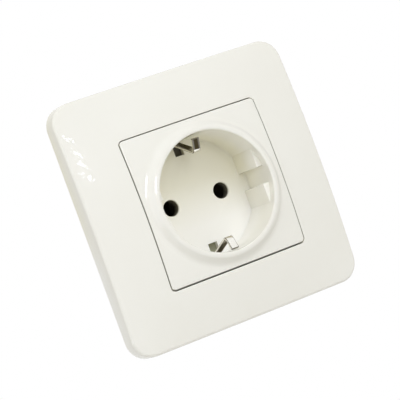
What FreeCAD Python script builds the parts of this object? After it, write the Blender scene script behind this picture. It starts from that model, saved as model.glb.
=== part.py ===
import FreeCAD, Part
import math
import os

# Flush wall socket, type F, in millimetres. The origin is on the wall plane at the middle
# of the socket. +X is right, +Z is up and +Y runs into the wall, so the face looks along -Y.

V = FreeCAD.Vector
ORIGIN = V(0, 0, 0)
Y_AXIS = V(0, 1, 0)

# Crowned face, shared by the frame and the centre cover
face_height = 13.4          # top of the crown above the wall
crown_side = 5.4            # fall of the crown from the middle to the middle of a side
crown_corner = 7.9          # fall of the crown from the middle to a corner

# Cover frame
frame_side = 85.0           # square side at the wall
frame_corner = 7.0          # corner radius at the wall
frame_draft = 1.5           # lean of the side walls, degrees
frame_edge = 1.1            # rounding between a side wall and the face
frame_wall = 2.0            # wall of the shell
window_wall = 1.8           # wall of the square tube round the window
ledge_width = 2.0           # shelf in the window that the centre cover holds down
ledge_thick = 1.6
rib_thick = 1.4
rib_offset = 14.0           # ribs stand this far either side of a side's middle

# Centre cover
cover_side = 49.87
cover_corner = 1.4
cover_gap = 0.38            # joint line between the cover and the frame
cover_edge = 0.15           # broken edge round the cover's face
cover_wall = 2.0
cover_skirt = 5.5           # depth of the cover's side wall below the middle of its edge
seat_gap = 0.1              # play between pieces that rest on each other

# Plug recess
recess_bore = 39.7
recess_depth = 18.2
recess_wall = 1.6
floor_thick = 1.8
lip_height = 2.65           # top of the collar above the middle of the cover's edge
lip_width = 1.5             # collar's lip, from the bore to the start of its slope
lip_inner = 0.35            # rounding of the lip towards the bore, as a share of its width
lip_outer = 1.1             # rounding of the lip towards the slope, as a share of its width
collar_slope = 2.15         # width of the collar's slope, from the lip to the face
collar_cove = 2.5           # rounding of the corner between the slope and the face
flat_chord = 17.5           # guide flats stand this far left and right of the middle
flat_start = 3.4            # guide flats start this far below the lip
groove_width = 5.8          # groove that parts each guide flat
pin_pitch = 19.0
pin_bore = 5.5
pin_length = 19.0
hole_land = 0.8             # floor left in front of the lid's sleeve at each pin hole
pin_sleeve = 1.3            # wall of the lid's sleeve behind each pin hole

# Earth bow
bow_thick = 0.8
clip_width = 2.6
strap_width = 6.0
bow_bend = 1.2
clip_tip = 19.3             # distance of the clip's front end from the middle
clip_apex = 15.0            # distance of the clip's inner bend from the middle
clip_start = 3.0            # clip's front end, below the lip
clip_fall = 1.8             # from the clip's front end in to its inner bend
clip_slope = 0.313          # how fast the clip's long leg runs outward
upper_inset = 0.9           # the upper clip is bent this much further in
slot_side = 0.35            # room beside the clip in its slot
slot_inner = 15.2           # inner end of the slot in the recess floor
slot_ahead = 0.7            # room ahead of the clip's front end

# Snap legs of the centre cover
leg_thick = 1.8
leg_width = 6.0
leg_offset = 14.0
leg_hook = 1.0
leg_play = 0.4
hook_length = 1.5

# Support ring
ring_corner = 10.0
ring_thick = 1.0
ring_play = 1.55            # room between the recess and the ring's opening
opening_corner = 6.0
screw_spacing = 60.0
slot_width = 4.2
slot_length = 7.0
slot_edge = 2.0             # steel left outside each screw slot
tab_width = 12.0
tab_margin = 4.0            # length of a tab past its rivet
tab_bend = 1.0

# Contact lid and socket base
lid_thick = 2.0
base_height = 42.0
base_corner = 5.0
flange_thick = 2.0
body_width = 31.0
body_corner = 3.0
lug_width = 13.0
lug_length = 7.5
back_wall = 2.2
shroud_wall = 1.2
shroud_height = 3.8
wire_slot = 5.0

# Contacts and terminals
contact_thick = 0.8
contact_width = 6.4
contact_bend = 0.8
leaf_mouth = 7.0            # leaf spacing at the mouth, centre line to centre line
leaf_pinch = 5.2            # leaf spacing where the pin is gripped
leaf_root = 6.0             # leaf spacing at the web
mouth_gap = 1.1             # from the lid to the leaves' tips
pinch_depth = 2.1           # from the leaves' tips to the grip
pin_tip_room = 1.2          # room past the tip of a plug's pin
chamber_side = 0.7          # room beside the contact in its chamber
chamber_end = 0.7           # room above the leaves
band_thick = 0.5
band_length = 5.0
band_start = 4.0            # from the leaves' tips to the band
band_gap = 0.1
terminal_edge = 7.0         # terminal screws stand this far in from the base's ends
earth_inset = 3.0           # earth terminal stands this much further in
foot_length = 7.6
screw_radius = 1.95
thread_play = 0.05
screw_tip = 4.5             # length of screw past the contact's foot
head_radius = 3.5
head_height = 2.2
drive_width = 0.9
drive_depth = 1.2
clamp_side = 7.8
clamp_thick = 1.2
clamp_rim = 0.4
clamp_play = 0.25
pocket_play = 0.5

# Rivets and lid screws
rivet_radius = 1.5
rivet_head = 2.6
rivet_head_height = 1.0
rivet_depth = 4.0
rivet_place = 5.5           # from the lid's back to the ring rivets
earth_rivet_radius = 1.2
earth_rivet_head = 2.0
earth_rivet_height = 0.6
lid_screw_radius = 1.3
lid_screw_head = 2.4
lid_screw_sink = 1.2
lid_screw_length = 9.0
lid_screw_side = 4.2        # lid screws stand this far in from the lid's sides
lid_screw_end = 8.0         # and this far in from its ends

# Worked-out sizes
frame_half = frame_side / 2
cover_half = cover_side / 2
window_half = cover_half + cover_gap
recess_radius = recess_bore / 2
well_radius = recess_radius + recess_wall
collar_radius = recess_radius + lip_width + collar_slope
pin_x = pin_pitch / 2
cover_edge_y = crown_side * (cover_half / frame_half) ** 2 - face_height
lip_y = cover_edge_y - lip_height
floor_y = lip_y + recess_depth
floor_back = floor_y + floor_thick
lid_front = floor_back + 3 * seat_gap
lid_back = lid_front + lid_thick
skirt_back = cover_edge_y + cover_skirt
ring_half = (screw_spacing + slot_length) / 2 + slot_edge
opening_half = well_radius + ring_play
tab_inner = opening_half - ring_thick
base_half_x = tab_inner
base_half_z = base_height / 2
terminal_drop = base_half_z - terminal_edge
earth_drop = terminal_drop - earth_inset
lid_screw_x = base_half_x - lid_screw_side
lid_screw_z = base_half_z - lid_screw_end
sleeve_radius = pin_bore / 2 + pin_sleeve
sleeve_front = floor_y + hole_land
body_half = body_width / 2
pin_tip_y = floor_y + pin_length
web_front = pin_tip_y + pin_tip_room
web_back = web_front + contact_thick
body_back = web_back + back_wall
leaf_tip = lid_back + mouth_gap
chamber_half_x = contact_width / 2 + chamber_side
chamber_half_z = (leaf_mouth + contact_thick) / 2 + chamber_end
pocket_half = clamp_side / 2 + pocket_play
shroud_half = pocket_half + shroud_wall
clip_front = lip_y + clip_start
apex_y = clip_front + clip_fall
strap_y = lid_back + bow_thick / 2
strap_back = lid_back + bow_thick
rear_z = clip_apex + clip_slope * (floor_back - apex_y)
slot_half = clip_width / 2 + slot_side
fold_x = (strap_width + contact_thick) / 2
rivet_y = lid_back + rivet_place
past = 1.0                  # how far cutting tools run past what they cut


def crown(x, z):
    """Depth of the crowned face at a place on it."""
    u = (x / frame_half) ** 2
    w = (z / frame_half) ** 2
    twist = 2 * crown_side - crown_corner
    return crown_side * (u + w) - twist * u * w - face_height


def crown_block(offset):
    """Solid behind the crowned face, with its front moved back by offset."""
    reach = 1.1 * frame_half
    side = crown_side * (reach / frame_half) ** 2
    twist = (2 * crown_side - crown_corner) * (reach / frame_half) ** 4
    bend = (1, -1, 1)
    surface = Part.BezierSurface()
    surface.increase(2, 2)
    for i, a in enumerate(bend):
        for j, b in enumerate(bend):
            depth = side * (a + b) - twist * a * b - face_height + offset
            surface.setPole(i + 1, j + 1, V((i - 1) * reach, depth, (j - 1) * reach))
    return solid_of(surface.toShape().extrude(V(0, 4 * face_height, 0)))


def solid_of(shape):
    """The single solid in a shape, facing outward."""
    solid = shape if shape.ShapeType == "Solid" else shape.Solids[0]
    if solid.Volume < 0:
        solid.reverse()
    return solid


def rounded_rect(half_x, half_z, radius, y, x=0.0, z=0.0):
    """Wire of a rectangle with round corners, square to Y at depth y."""
    arcs = []
    for turn, (sx, sz) in enumerate(((1, 1), (-1, 1), (-1, -1), (1, -1))):
        centre = V(x + sx * (half_x - radius), y, z + sz * (half_z - radius))
        angles = [math.radians(90 * turn + step) for step in (0, 45, 90)]
        arcs.append([centre + V(math.cos(a), 0, math.sin(a)) * radius for a in angles])
    edges = []
    for index, arc in enumerate(arcs):
        edges.append(Part.Arc(*arc).toShape())
        edges.append(Part.makeLine(arc[2], arcs[(index + 1) % 4][0]))
    return Part.Wire(edges)


def prism(wire, y1):
    """Straight block from a wire square to Y back to depth y1."""
    y0 = wire.Vertexes[0].Point.y
    return Part.Face(wire).extrude(V(0, y1 - y0, 0))


def box(x0, x1, y0, y1, z0, z1):
    """Box between two corners."""
    return Part.makeBox(x1 - x0, y1 - y0, z1 - z0, V(x0, y0, z0))


def rod(radius, y0, y1, x=0.0, z=0.0):
    """Cylinder along Y."""
    return Part.makeCylinder(radius, y1 - y0, V(x, y0, z), Y_AXIS)


def turned(shape, angle):
    """Copy of a shape turned about the Y axis."""
    copy = shape.copy()
    copy.rotate(ORIGIN, Y_AXIS, angle)
    return copy


def strip(points, thick, bend, place):
    """Face of a bent strip about a centre line of straight runs with round bends.

    points are pairs in the strip's own plane, and place turns a pair into a vector.
    """
    half = thick / 2
    edges = []
    for side in (1, -1):
        last = None
        for index, (u, w) in enumerate(points):
            before = points[max(index - 1, 0)]
            after = points[min(index + 1, len(points) - 1)]
            run_in = unit(u - before[0], w - before[1])
            run_out = unit(after[0] - u, after[1] - w)
            if index in (0, len(points) - 1):
                run = run_out if index == 0 else run_in
                corner = (u - run[1] * side * half, w + run[0] * side * half)
                if last:
                    edges.append(Part.makeLine(place(*last), place(*corner)))
                last = corner
                continue
            cross = run_in[0] * run_out[1] - run_in[1] * run_out[0]
            dot = run_in[0] * run_out[0] + run_in[1] * run_out[1]
            left = math.copysign(1, cross)
            back = bend * math.tan(abs(math.atan2(cross, dot)) / 2)
            start = (u - run_in[0] * back, w - run_in[1] * back)
            centre = (start[0] - run_in[1] * left * bend, start[1] + run_in[0] * left * bend)
            out = unit(u - centre[0], w - centre[1])
            radius = bend - side * left * half
            stops = [
                (-left * -run_in[1] * radius, -left * run_in[0] * radius),
                (out[0] * radius, out[1] * radius),
                (-left * -run_out[1] * radius, -left * run_out[0] * radius),
            ]
            stops = [(centre[0] + a, centre[1] + b) for a, b in stops]
            edges.append(Part.makeLine(place(*last), place(*stops[0])))
            edges.append(Part.Arc(*[place(*stop) for stop in stops]).toShape())
            last = stops[2]
    for index, run in ((0, 1), (len(points) - 1, -1)):
        u, w = points[index]
        near = points[index + run]
        along = unit(near[0] - u, near[1] - w)
        caps = [(u - along[1] * s * half, w + along[0] * s * half) for s in (1, -1)]
        edges.append(Part.makeLine(place(*caps[0]), place(*caps[1])))
    return Part.Face(Part.Wire(Part.sortEdges(edges)[0]))


def unit(u, w):
    """Pair of length one along a direction, or zero for no direction."""
    size = math.hypot(u, w) or 1.0
    return (u / size, w / size)


def frame_shell(inset, y0, y1):
    """Drafted square block of the frame's sides, moved in by inset."""
    lean = math.tan(math.radians(frame_draft))
    wires = []
    for y in (y0, y1):
        half = frame_half - inset + y * lean
        wires.append(rounded_rect(half, half, frame_corner - inset + y * lean, y))
    return Part.makeLoft(wires, True, True)


def cover_frame():
    """Crowned frame: a shell with a window tube, a shelf in it and ribs behind the face."""
    front = -face_height - past
    outer = frame_shell(0, 0, front).common(crown_block(0))
    rim = [e for e in outer.Edges if e.BoundBox.YMax < -past and on_crown(e)]
    outer = outer.makeFillet(frame_edge, rim)
    tube_half = window_half + window_wall
    hollow = frame_shell(frame_wall, 0, front).common(crown_block(frame_wall))
    hollow = hollow.cut(prism(rounded_rect(tube_half, tube_half, cover_corner + window_wall, front), past))
    ribs = []
    for quarter in range(4):
        for side in (-1, 1):
            middle = side * rib_offset
            rib = box(window_half, frame_half, front, past, middle - rib_thick / 2, middle + rib_thick / 2)
            ribs.append(turned(rib, 90 * quarter))
    hollow = hollow.cut(ribs)
    ledge_front = skirt_back + seat_gap
    ledge_half = window_half - ledge_width
    window = prism(rounded_rect(window_half, window_half, cover_corner + cover_gap, front), ledge_front)
    shelf = prism(rounded_rect(ledge_half, ledge_half, cover_corner, front), past)
    behind = prism(
        rounded_rect(window_half, window_half, cover_corner + cover_gap, ledge_front + ledge_thick), past)
    ring_room = ring_half + 2 * seat_gap
    room = prism(
        rounded_rect(ring_room, ring_room, ring_corner, -ring_thick - seat_gap), past)
    return outer.cut([hollow, window, shelf, behind, room])


def on_crown(edge):
    """True where an edge's middle lies on the crowned face."""
    point = edge.valueAt((edge.FirstParameter + edge.LastParameter) / 2)
    return abs(point.y - crown(point.x, point.z)) < 1e-3


def rounded_outline(points, radii):
    """Closed wire through points, with an arc of the given radius at each rounded corner."""
    edges = []
    stops = []
    for index, (point, radius) in enumerate(zip(points, radii)):
        back = (points[index - 1] - point).normalize()
        ahead = (points[(index + 1) % len(points)] - point).normalize()
        half = back.getAngle(ahead) / 2
        offset = radius / math.tan(half)
        first = point + back * offset
        last = point + ahead * offset
        if radius:
            inward = (back + ahead).normalize()
            middle = point + inward * (radius / math.sin(half) - radius)
            edges.append(Part.Arc(first, middle, last).toShape())
        stops.append((first, last))
    for index, (first, last) in enumerate(stops):
        edges.append(Part.makeLine(last, stops[(index + 1) % len(stops)][0]))
    return Part.Wire(Part.sortEdges(edges)[0])


def collar():
    """Turned collar round the recess: a rounded lip and a slope that runs out into the face in a cove."""
    reach = collar_radius + collar_cove / 2
    foot = V(collar_radius, crown(collar_radius, 0), 0)
    end = V(reach, crown(reach, 0) + seat_gap, 0)
    back = end.y + cover_wall / 2
    points = [
        V(recess_radius, back, 0), V(recess_radius, lip_y, 0), V(recess_radius + lip_width, lip_y, 0),
        foot, end, V(reach, back, 0),
    ]
    radii = (0, lip_inner * lip_width, lip_outer * lip_width, collar_cove, 0, 0)
    return Part.Face(rounded_outline(points, radii)).revolve(ORIGIN, Y_AXIS, 360)


def recess_space():
    """Air of the recess: a bore with two grooved guide flats left standing in it."""
    space = rod(recess_radius, lip_y - past, floor_y)
    reach = recess_radius + past
    groove = box(-reach, reach, lip_y, floor_y + past, -groove_width / 2, groove_width / 2)
    for side in (-1, 1):
        edges = sorted((side * flat_chord, side * reach))
        flat = box(edges[0], edges[1], lip_y + flat_start, floor_y + past, -reach, reach)
        space = space.cut(flat.cut(groove))
    return space


def centre_cover():
    """Square cover with the plug recess, its collar, the pin holes and four snap legs."""
    front = lip_y - past
    plate = prism(rounded_rect(cover_half, cover_half, cover_corner, front), skirt_back)
    plate = plate.common(crown_block(0))
    rim = [e for e in plate.Edges if on_crown(e)]
    plate = plate.makeFillet(cover_edge, rim)
    inner = cover_half - recess_wall
    hollow = prism(rounded_rect(inner, inner, cover_corner, front), skirt_back + past)
    plate = plate.cut(hollow.common(crown_block(cover_wall)))
    well = rod(well_radius, cover_edge_y, floor_back)
    solid = plate.fuse([collar(), well] + snap_legs())
    cuts = [recess_space()]
    for side in (-1, 1):
        cuts.append(rod(pin_bore / 2, lip_y, lid_front, side * pin_x))
        cuts.append(rod(sleeve_radius + seat_gap, sleeve_front, lid_front, side * pin_x))
        edges = sorted((side * slot_inner, side * (well_radius + seat_gap)))
        slot_front = clip_front - slot_ahead
        cuts.append(box(-slot_half, slot_half, slot_front, floor_back + past, edges[0], edges[1]))
    return solid_of(solid.cut(cuts).removeSplitter())


def snap_legs():
    """Four legs that pass through the support ring and hook behind it."""
    outer = opening_half - leg_play
    inner = outer - leg_thick
    root = crown(inner, leg_offset) + cover_wall / 2
    hook_y = seat_gap + leg_play / 2
    end = hook_y + hook_length
    outline = [
        V(inner, root, 0), V(outer, root, 0), V(outer, hook_y, 0),
        V(outer + leg_hook, hook_y, 0), V(outer, end, 0), V(inner, end, 0), V(inner, root, 0),
    ]
    leg = Part.Face(Part.makePolygon(outline)).extrude(V(0, 0, leg_width))
    legs = []
    for z in (leg_offset, -leg_offset):
        right = leg.translated(V(0, 0, z - leg_width / 2))
        legs.append(right)
        legs.append(turned(right, 180))
    return legs


def support_ring():
    """Steel ring with slots for the box screws and two tabs bent back to the base."""
    plate = prism(rounded_rect(ring_half, ring_half, ring_corner, -ring_thick), 0)
    opening = prism(rounded_rect(opening_half, opening_half, opening_corner, -ring_thick - past), past)
    cuts = [opening]
    long_half = slot_length / 2
    for quarter in range(4):
        wire = rounded_rect(
            long_half, slot_width / 2, slot_width / 2 - 1e-4, -ring_thick - past, screw_spacing / 2)
        cuts.append(turned(prism(wire, past), 90 * quarter))
    plate = plate.cut(cuts)
    middle = tab_inner + ring_thick / 2
    reach = (opening_half + ring_half - slot_length) / 2
    profile = [(reach, -ring_thick / 2), (middle, -ring_thick / 2), (middle, rivet_y + tab_margin)]
    face = strip(profile, ring_thick, tab_bend, lambda x, y: V(x, y, -tab_width / 2))
    tab = face.extrude(V(0, 0, tab_width))
    hole = Part.makeCylinder(rivet_radius + thread_play, 2 * ring_half, V(-ring_half, rivet_y, 0), V(1, 0, 0))
    return solid_of(plate.fuse([tab, turned(tab, 180)]).cut(hole).removeSplitter())


def contact_lid():
    """Front plate of the base, with a sleeve round each pin hole and notches for the earth clips."""
    plate = prism(rounded_rect(base_half_x, base_half_z, base_corner, lid_front), lid_back)
    plate = plate.fuse([rod(sleeve_radius, sleeve_front, lid_back, side * pin_x) for side in (-1, 1)])
    cuts = []
    for side in (-1, 1):
        cuts.append(rod(pin_bore / 2, floor_y, lid_back + past, side * pin_x))
        x, z = side * lid_screw_x, side * lid_screw_z
        cuts.append(rod(lid_screw_radius + thread_play, lid_front - past, lid_back + past, x, z))
        cuts.append(rod(lid_screw_head + thread_play, lid_front - past, lid_front + lid_screw_sink, x, z))
        ends = sorted((side * (rear_z - bow_bend), side * (base_half_z + past)))
        cuts.append(box(-slot_half, slot_half, lid_front - past, lid_back + past, ends[0], ends[1]))
    rivet_front = lid_back - earth_rivet_height - seat_gap
    cuts.append(rod(earth_rivet_head + seat_gap, rivet_front, lid_back, 0, earth_drop))
    return solid_of(plate.cut(cuts).removeSplitter())


def terminals():
    """Places of the three terminal screws: two contacts below, the earth above."""
    return ((-pin_x, -terminal_drop), (pin_x, -terminal_drop), (0.0, earth_drop))


def socket_base():
    """Moulded base: chambers and a channel open to the front, terminal pockets open to the back."""
    flange = prism(rounded_rect(base_half_x, base_half_z, base_corner, lid_back), lid_back + flange_thick)
    body = prism(rounded_rect(body_half, base_half_z, body_corner, lid_back), body_back)
    lugs = box(-base_half_x, base_half_x, lid_back, rivet_y + lug_length - rivet_radius,
               -lug_width / 2, lug_width / 2)
    shrouds = []
    for x, z in terminals():
        wire = rounded_rect(shroud_half, shroud_half, shroud_wall, body_back - past, x, z)
        shrouds.append(prism(wire, body_back + shroud_height))
    solid = flange.fuse([body, lugs] + shrouds)
    cuts = []
    foot_end = terminal_drop + foot_length / 2 + chamber_side
    for side in (-1, 1):
        x = side * pin_x
        cuts.append(box(x - chamber_half_x, x + chamber_half_x, lid_back - past, web_back,
                        -foot_end, chamber_half_z))
        tool = Part.makeCylinder(rivet_radius + thread_play, rivet_depth + past,
                                 V(side * (base_half_x + past), rivet_y, 0), V(-side, 0, 0))
        cuts.append(tool)
        screw_end = lid_front + lid_screw_sink + lid_screw_length
        cuts.append(rod(lid_screw_radius + thread_play, lid_back - past, screw_end,
                        side * lid_screw_x, side * lid_screw_z))
    channel_half = strap_width / 2 + seat_gap
    cuts.append(box(-channel_half, channel_half, lid_back - past, strap_back, -base_half_z, base_half_z))
    earth_half = fold_x + contact_thick / 2 + chamber_side
    cuts.append(box(-earth_half, earth_half, lid_back - past, web_back,
                    earth_drop - foot_length / 2 - chamber_side, earth_drop + foot_length / 2 + chamber_side))
    for x, z in terminals():
        wire = rounded_rect(pocket_half, pocket_half, shroud_wall / 2, web_back - seat_gap, x, z)
        cuts.append(prism(wire, body_back + shroud_height + past))
        edges = sorted((z, math.copysign(base_half_z + past, z)))
        cuts.append(box(x - wire_slot / 2, x + wire_slot / 2, web_back, body_back + shroud_height + past,
                        edges[0], edges[1]))
    bosses = []
    for side in (-1, 1):
        boss = rod(lid_screw_head, lid_back, lid_front + lid_screw_sink + lid_screw_length + back_wall,
                   side * lid_screw_x, side * lid_screw_z)
        bosses.append(boss)
    return solid_of(solid.fuse(bosses).cut(cuts).removeSplitter())


def contact(side):
    """Brass contact: two leaves that grip the pin, on a strap that ends in a terminal foot."""
    x = side * pin_x
    web = web_front + contact_thick / 2
    pinch = leaf_tip + pinch_depth
    profile = [
        (leaf_tip, leaf_mouth / 2), (pinch, leaf_pinch / 2), (web, leaf_root / 2),
        (web, -leaf_root / 2), (pinch, -leaf_pinch / 2), (leaf_tip, -leaf_mouth / 2),
    ]
    face = strip(profile, contact_thick, contact_bend, lambda y, z: V(x - contact_width / 2, y, z))
    leaves = face.extrude(V(contact_width, 0, 0))
    strap = box(x - contact_width / 2, x + contact_width / 2, web_front, web_back,
                -terminal_drop - foot_length / 2, 0)
    hole = rod(screw_radius + thread_play, web_front - past, web_back + past, x, -terminal_drop)
    return solid_of(leaves.fuse(strap).cut(hole).removeSplitter())


def contact_band(side):
    """Spring band that presses a contact's leaves together, open on the outer side."""
    x = side * pin_x
    far = contact_width / 2 + band_gap + band_thick / 2
    high = (leaf_root + contact_thick) / 2 + band_gap + band_thick / 2
    near = contact_width / 2 - contact_thick
    profile = [(near, high), (-far, high), (-far, -high), (near, -high)]
    y0 = leaf_tip + band_start
    face = strip(profile, band_thick, band_thick, lambda u, z: V(x + side * u, y0, z))
    return face.extrude(V(0, band_length, 0))


def earth_bow():
    """Earth bow: one strip with a sprung clip at each end and a wider strap behind the floor."""
    profile = [
        (clip_front, clip_tip - upper_inset), (apex_y, clip_apex - upper_inset), (floor_back, rear_z),
        (strap_y, rear_z), (strap_y, -rear_z),
        (floor_back, -rear_z), (apex_y, -clip_apex), (clip_front, -clip_tip),
    ]
    face = strip(profile, bow_thick, bow_bend, lambda y, z: V(-clip_width / 2, y, z))
    bow = face.extrude(V(clip_width, 0, 0))
    wide = earth_drop + earth_rivet_head
    strap = box(-strap_width / 2, strap_width / 2, lid_back, strap_back, -wide, wide)
    hole = rod(earth_rivet_radius + thread_play, lid_back - past, strap_back + past, 0, earth_drop)
    return solid_of(bow.fuse(strap).cut(hole).removeSplitter())


def earth_strap():
    """Brass strap behind the bow, folded back to the earth terminal's foot."""
    flat = strap_back + contact_thick / 2
    flat_back = strap_back + contact_thick
    foot = web_front + contact_thick / 2
    fold = [(-fold_x, flat), (fold_x, flat), (fold_x, foot), (-fold_x, foot)]
    face = strip(fold, contact_thick, contact_bend, lambda x, y: V(x, y, earth_drop - foot_length / 2))
    strap = face.extrude(V(0, 0, foot_length))
    holes = [
        rod(screw_radius + thread_play, web_front - past, web_back + past, 0, earth_drop),
        rod(earth_rivet_radius + thread_play, strap_back - past, flat_back + past, 0, earth_drop),
    ]
    return strap.cut(holes)


def earth_rivet():
    """Rivet that joins the earth bow and its strap."""
    front = lid_back
    back = strap_back + contact_thick
    shank = rod(earth_rivet_radius, front, back, 0, earth_drop)
    heads = [
        rod(earth_rivet_head, front - earth_rivet_height, front, 0, earth_drop),
        rod(earth_rivet_head, back, back + earth_rivet_height, 0, earth_drop),
    ]
    return solid_of(shank.fuse(heads).removeSplitter())


def clamp(x, z):
    """Terminal clamp: a square plate with two edges turned down onto the wire."""
    half = clamp_side / 2
    plate = prism(rounded_rect(half, half, clamp_rim, web_back, x, z), web_back + clamp_thick)
    channel = box(x - half + 2 * clamp_rim, x + half - 2 * clamp_rim, web_back - past, web_back + clamp_rim,
                  z - half - past, z + half + past)
    hole = rod(screw_radius + clamp_play, web_back - past, web_back + clamp_thick + past, x, z)
    return plate.cut([channel, hole])


def terminal_screw(x, z):
    """Slotted terminal screw, with its head to the back."""
    seat = web_back + clamp_thick
    top = seat + head_height
    screw = rod(screw_radius, web_front - screw_tip, seat, x, z).fuse(rod(head_radius, seat, top, x, z))
    rim = [e for e in screw.Edges if abs(e.BoundBox.YMin - top) < 1e-6 and abs(e.BoundBox.YMax - top) < 1e-6]
    screw = screw.makeChamfer(head_height / 4, rim)
    drive = box(x - drive_width / 2, x + drive_width / 2, top - drive_depth, top + past,
                z - head_radius - past, z + head_radius + past)
    return screw.cut(drive)


def ring_rivet(side):
    """Rivet through a tab of the ring into the base, with a low domed head."""
    out = V(side, 0, 0)
    seat = side * opening_half
    shank = Part.makeCylinder(rivet_radius, ring_thick + rivet_depth, V(seat, rivet_y, 0), out * -1)
    ball = (rivet_head**2 + rivet_head_height**2) / (2 * rivet_head_height)
    dome = Part.makeSphere(ball, V(seat + side * (rivet_head_height - ball), rivet_y, 0))
    head = dome.common(Part.makeCylinder(rivet_head, rivet_head_height, V(seat, rivet_y, 0), out))
    return solid_of(shank.fuse(head))


def lid_screw(side):
    """Countersunk-flush screw that holds the lid on the base."""
    x, z = side * lid_screw_x, side * lid_screw_z
    seat = lid_front + lid_screw_sink
    head = rod(lid_screw_head, seat - lid_screw_sink + 2 * seat_gap, seat, x, z)
    drive = box(x - drive_width / 2, x + drive_width / 2, seat - lid_screw_sink, seat - lid_screw_sink / 2,
                z - lid_screw_head, z + lid_screw_head)
    return rod(lid_screw_radius, seat, seat + lid_screw_length - seat_gap, x, z).fuse(head).cut(drive)


def main():
    """Builds every piece and writes one file for each."""
    os.makedirs("parts", exist_ok=True)
    neutral, line, earth = terminals()
    pieces = {
        "cover_frame": cover_frame(),
        "centre_cover": centre_cover(),
        "support_ring": support_ring(),
        "contact_lid": contact_lid(),
        "socket_base": socket_base(),
        "neutral_contact": contact(-1),
        "line_contact": contact(1),
        "neutral_contact_band": contact_band(-1),
        "line_contact_band": contact_band(1),
        "earth_bow": earth_bow(),
        "earth_strap": earth_strap(),
        "earth_rivet": earth_rivet(),
        "neutral_clamp": clamp(*neutral),
        "line_clamp": clamp(*line),
        "earth_clamp": clamp(*earth),
        "neutral_terminal_screw": terminal_screw(*neutral),
        "line_terminal_screw": terminal_screw(*line),
        "earth_terminal_screw": terminal_screw(*earth),
        "ring_rivets": Part.makeCompound([ring_rivet(-1), ring_rivet(1)]),
        "lid_screws": Part.makeCompound([lid_screw(-1), lid_screw(1)]),
    }
    for name, shape in pieces.items():
        if shape.ShapeType == "Compound" and len(shape.Solids) == 1:
            shape = shape.Solids[0]
        shape.exportStep("parts/" + name + ".step")
        print(name, len(shape.Solids), shape.isValid(), round(shape.Volume, 1))


main()
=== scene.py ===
import logging
import math
from dataclasses import dataclass, field
from enum import Enum
from typing import Callable, Sequence

import bmesh
import bpy
from mathutils import Matrix, Vector


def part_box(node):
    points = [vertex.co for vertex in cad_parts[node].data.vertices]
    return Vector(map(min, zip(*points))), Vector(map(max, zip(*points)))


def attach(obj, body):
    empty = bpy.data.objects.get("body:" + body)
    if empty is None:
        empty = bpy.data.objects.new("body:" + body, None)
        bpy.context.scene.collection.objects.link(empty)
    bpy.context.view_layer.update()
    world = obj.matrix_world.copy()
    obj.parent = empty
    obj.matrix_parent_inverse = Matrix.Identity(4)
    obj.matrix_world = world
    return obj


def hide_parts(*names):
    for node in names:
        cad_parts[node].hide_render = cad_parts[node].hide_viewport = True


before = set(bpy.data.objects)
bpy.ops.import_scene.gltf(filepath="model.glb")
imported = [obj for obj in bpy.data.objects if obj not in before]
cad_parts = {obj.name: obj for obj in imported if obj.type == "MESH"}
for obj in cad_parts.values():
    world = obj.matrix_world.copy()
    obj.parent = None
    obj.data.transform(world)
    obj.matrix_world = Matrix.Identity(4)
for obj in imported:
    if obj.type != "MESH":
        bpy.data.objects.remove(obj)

LOG = logging.getLogger("socket")
ROOT = "root"
Ring = list[Vector]
Colour = tuple[float, float, float]
Socket = bpy.types.NodeSocket
Tint = Colour | Socket
Depth = Callable[[Vector], float]
PURE_WHITE = (1.0, 1.0, 1.0, 1.0)
NOISE_LOW = 0.3
NOISE_HIGH = 0.7
SMOOTH_ANGLE = math.radians(32.0)
BREAK_ANGLE = math.radians(30.0)
EDGE_SEGMENTS = 2
ROUND_PROFILE = 0.5
BEVEL_ROOM = 3
TINY = 1e-6


class Side(Enum):
    """Which side of the middle a repeated piece stands on."""

    LEFT = -1
    RIGHT = 1


class Gloss(Enum):
    """How glossy surfaces show a lamp: with its light, not at all, or as a mirror image only."""

    MIRRORED = 1
    HIDDEN = 0
    ONLY = 2


class Detail(Enum):
    """Octaves of finer noise in a field."""

    SOFT = 2.0
    MEDIUM = 3.0
    FINE = 4.0


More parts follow.
